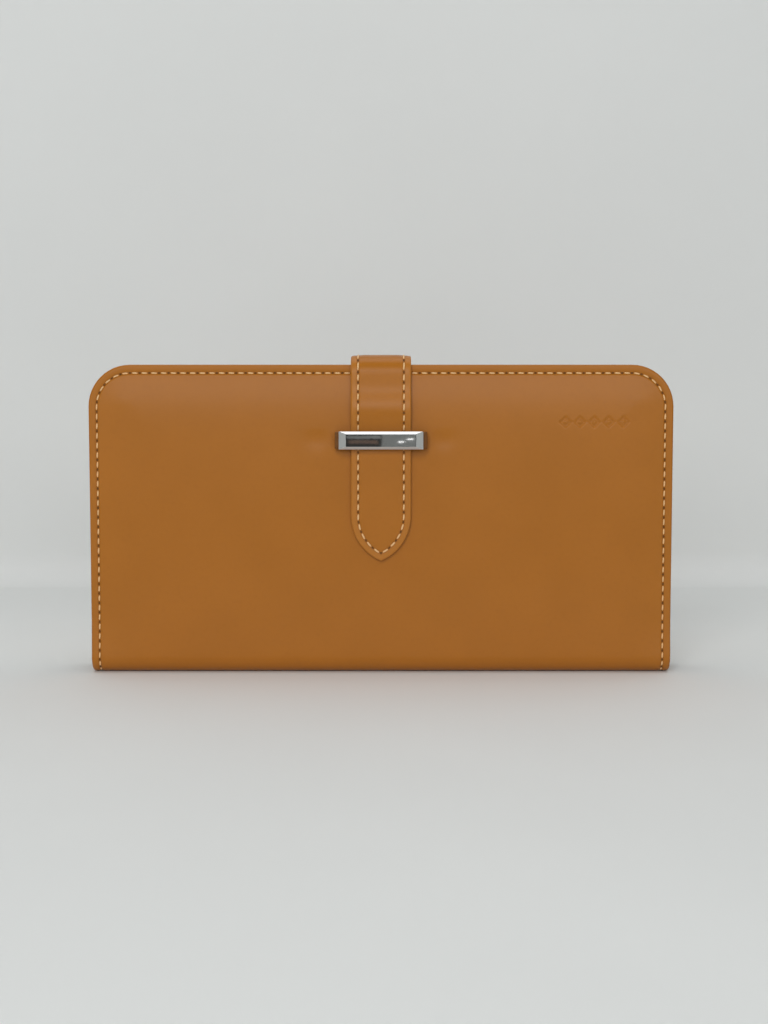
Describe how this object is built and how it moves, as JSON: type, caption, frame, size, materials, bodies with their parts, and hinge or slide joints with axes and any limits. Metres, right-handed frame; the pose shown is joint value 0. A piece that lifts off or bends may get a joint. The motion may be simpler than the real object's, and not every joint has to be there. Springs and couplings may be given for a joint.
{
  "type": "long bifold wallet",
  "caption": "Long leather bifold wallet with a zipped coin pocket, card pockets and a strap that passes over the top and tucks under a metal-faced keeper loop.",
  "frame": {"origin": "middle of the flat underside of the spine, on which the closed wallet stands", "axes": "+X along the spine, +Y from the front cover towards the back cover, +Z from the spine up to the open edge"},
  "size_m": [0.195, 0.0306, 0.1068],
  "materials": {
    "tan_leather": "satin",
    "thread": "satin",
    "lining": "matte",
    "zip_tape": "matte",
    "board": "matte",
    "foam": "matte",
    "keeper_metal": "polished",
    "zip_metal": "polished"
  },
  "bodies": {
    "spine": {"spine_leather": "tan_leather", "spine_stiffener": "board", "spine_lining": "lining", "spine_thread": "thread"},
    "front_leaf": {"front_cover_leather": "tan_leather", "front_padding": "foam", "front_stiffener": "board", "front_lining": "lining", "front_bill_edges": "tan_leather", "front_inner_panel": "tan_leather", "card_pocket_edges": "tan_leather", "card_pocket_1": "tan_leather", "card_pocket_2": "tan_leather", "card_pocket_3": "tan_leather", "card_divider_thread": "thread", "front_cover_thread": "thread", "keeper_loop": "tan_leather", "keeper_bar": "keeper_metal", "keeper_washers": "keeper_metal"},
    "back_leaf": {"back_cover_leather": "tan_leather", "back_padding": "foam", "back_stiffener": "board", "back_lining": "lining", "back_bill_edges": "tan_leather", "coin_pocket_back": "tan_leather", "coin_pocket_gusset": "lining", "coin_pocket_front": "tan_leather", "coin_pocket_top_strip": "tan_leather", "zip_end_tabs": "tan_leather", "zip_tape_upper": "zip_tape", "zip_tape_lower": "zip_tape", "zip_teeth": "zip_metal", "back_cover_thread": "thread", "strap_root_leather": "tan_leather", "strap_root_backing": "tan_leather", "strap_root_thread": "thread"},
    "strap_arch": {"strap_bridge_leather": "tan_leather", "strap_bridge_backing": "tan_leather", "strap_bridge_thread": "thread"},
    "strap_end": {"strap_tongue_leather": "tan_leather", "strap_tongue_backing": "tan_leather", "strap_tongue_thread": "thread"},
    "slider": {"zip_slider": "zip_metal"},
    "pull": {"zip_pull": "zip_metal"}
  },
  "joints": [
    {"name": "front_fold", "type": "hinge", "parent": "spine", "child": "front_leaf", "pos_m": [0, -0.00971, 0.00129], "axis": [1, 0, 0], "range_deg": [0, 85]},
    {"name": "back_fold", "type": "hinge", "parent": "spine", "child": "back_leaf", "pos_m": [0, 0.00971, 0.00129], "axis": [-1, 0, 0], "range_deg": [0, 87]},
    {"name": "strap_lift", "type": "hinge", "parent": "back_leaf", "child": "strap_arch", "pos_m": [0, 0.01222, 0.10472], "axis": [-1, 0, 0], "range_deg": [0, 90], "deforming": ["strap_bridge_leather", "strap_bridge_backing", "strap_bridge_thread"]},
    {"name": "strap_swing", "type": "hinge", "parent": "strap_arch", "child": "strap_end", "pos_m": [0, -0.01222, 0.10472], "axis": [-1, 0, 0], "range_deg": [0, 90], "deforming": ["strap_tongue_leather", "strap_tongue_backing", "strap_tongue_thread"]},
    {"name": "zip_slide", "type": "slide", "parent": "back_leaf", "child": "slider", "axis": [-1, 0, 0], "range_m": [0, 0.15], "deforming": ["zip_teeth"]},
    {"name": "pull_swing", "type": "hinge", "parent": "slider", "child": "pull", "pos_m": [0.075, -0.00035, 0.0875], "axis": [0, 1, 0], "range_deg": [-30, 30]}
  ],
  "couplings": [
    {"joint": "strap_swing", "follows": "strap_lift", "ratio": 1}
  ]
}
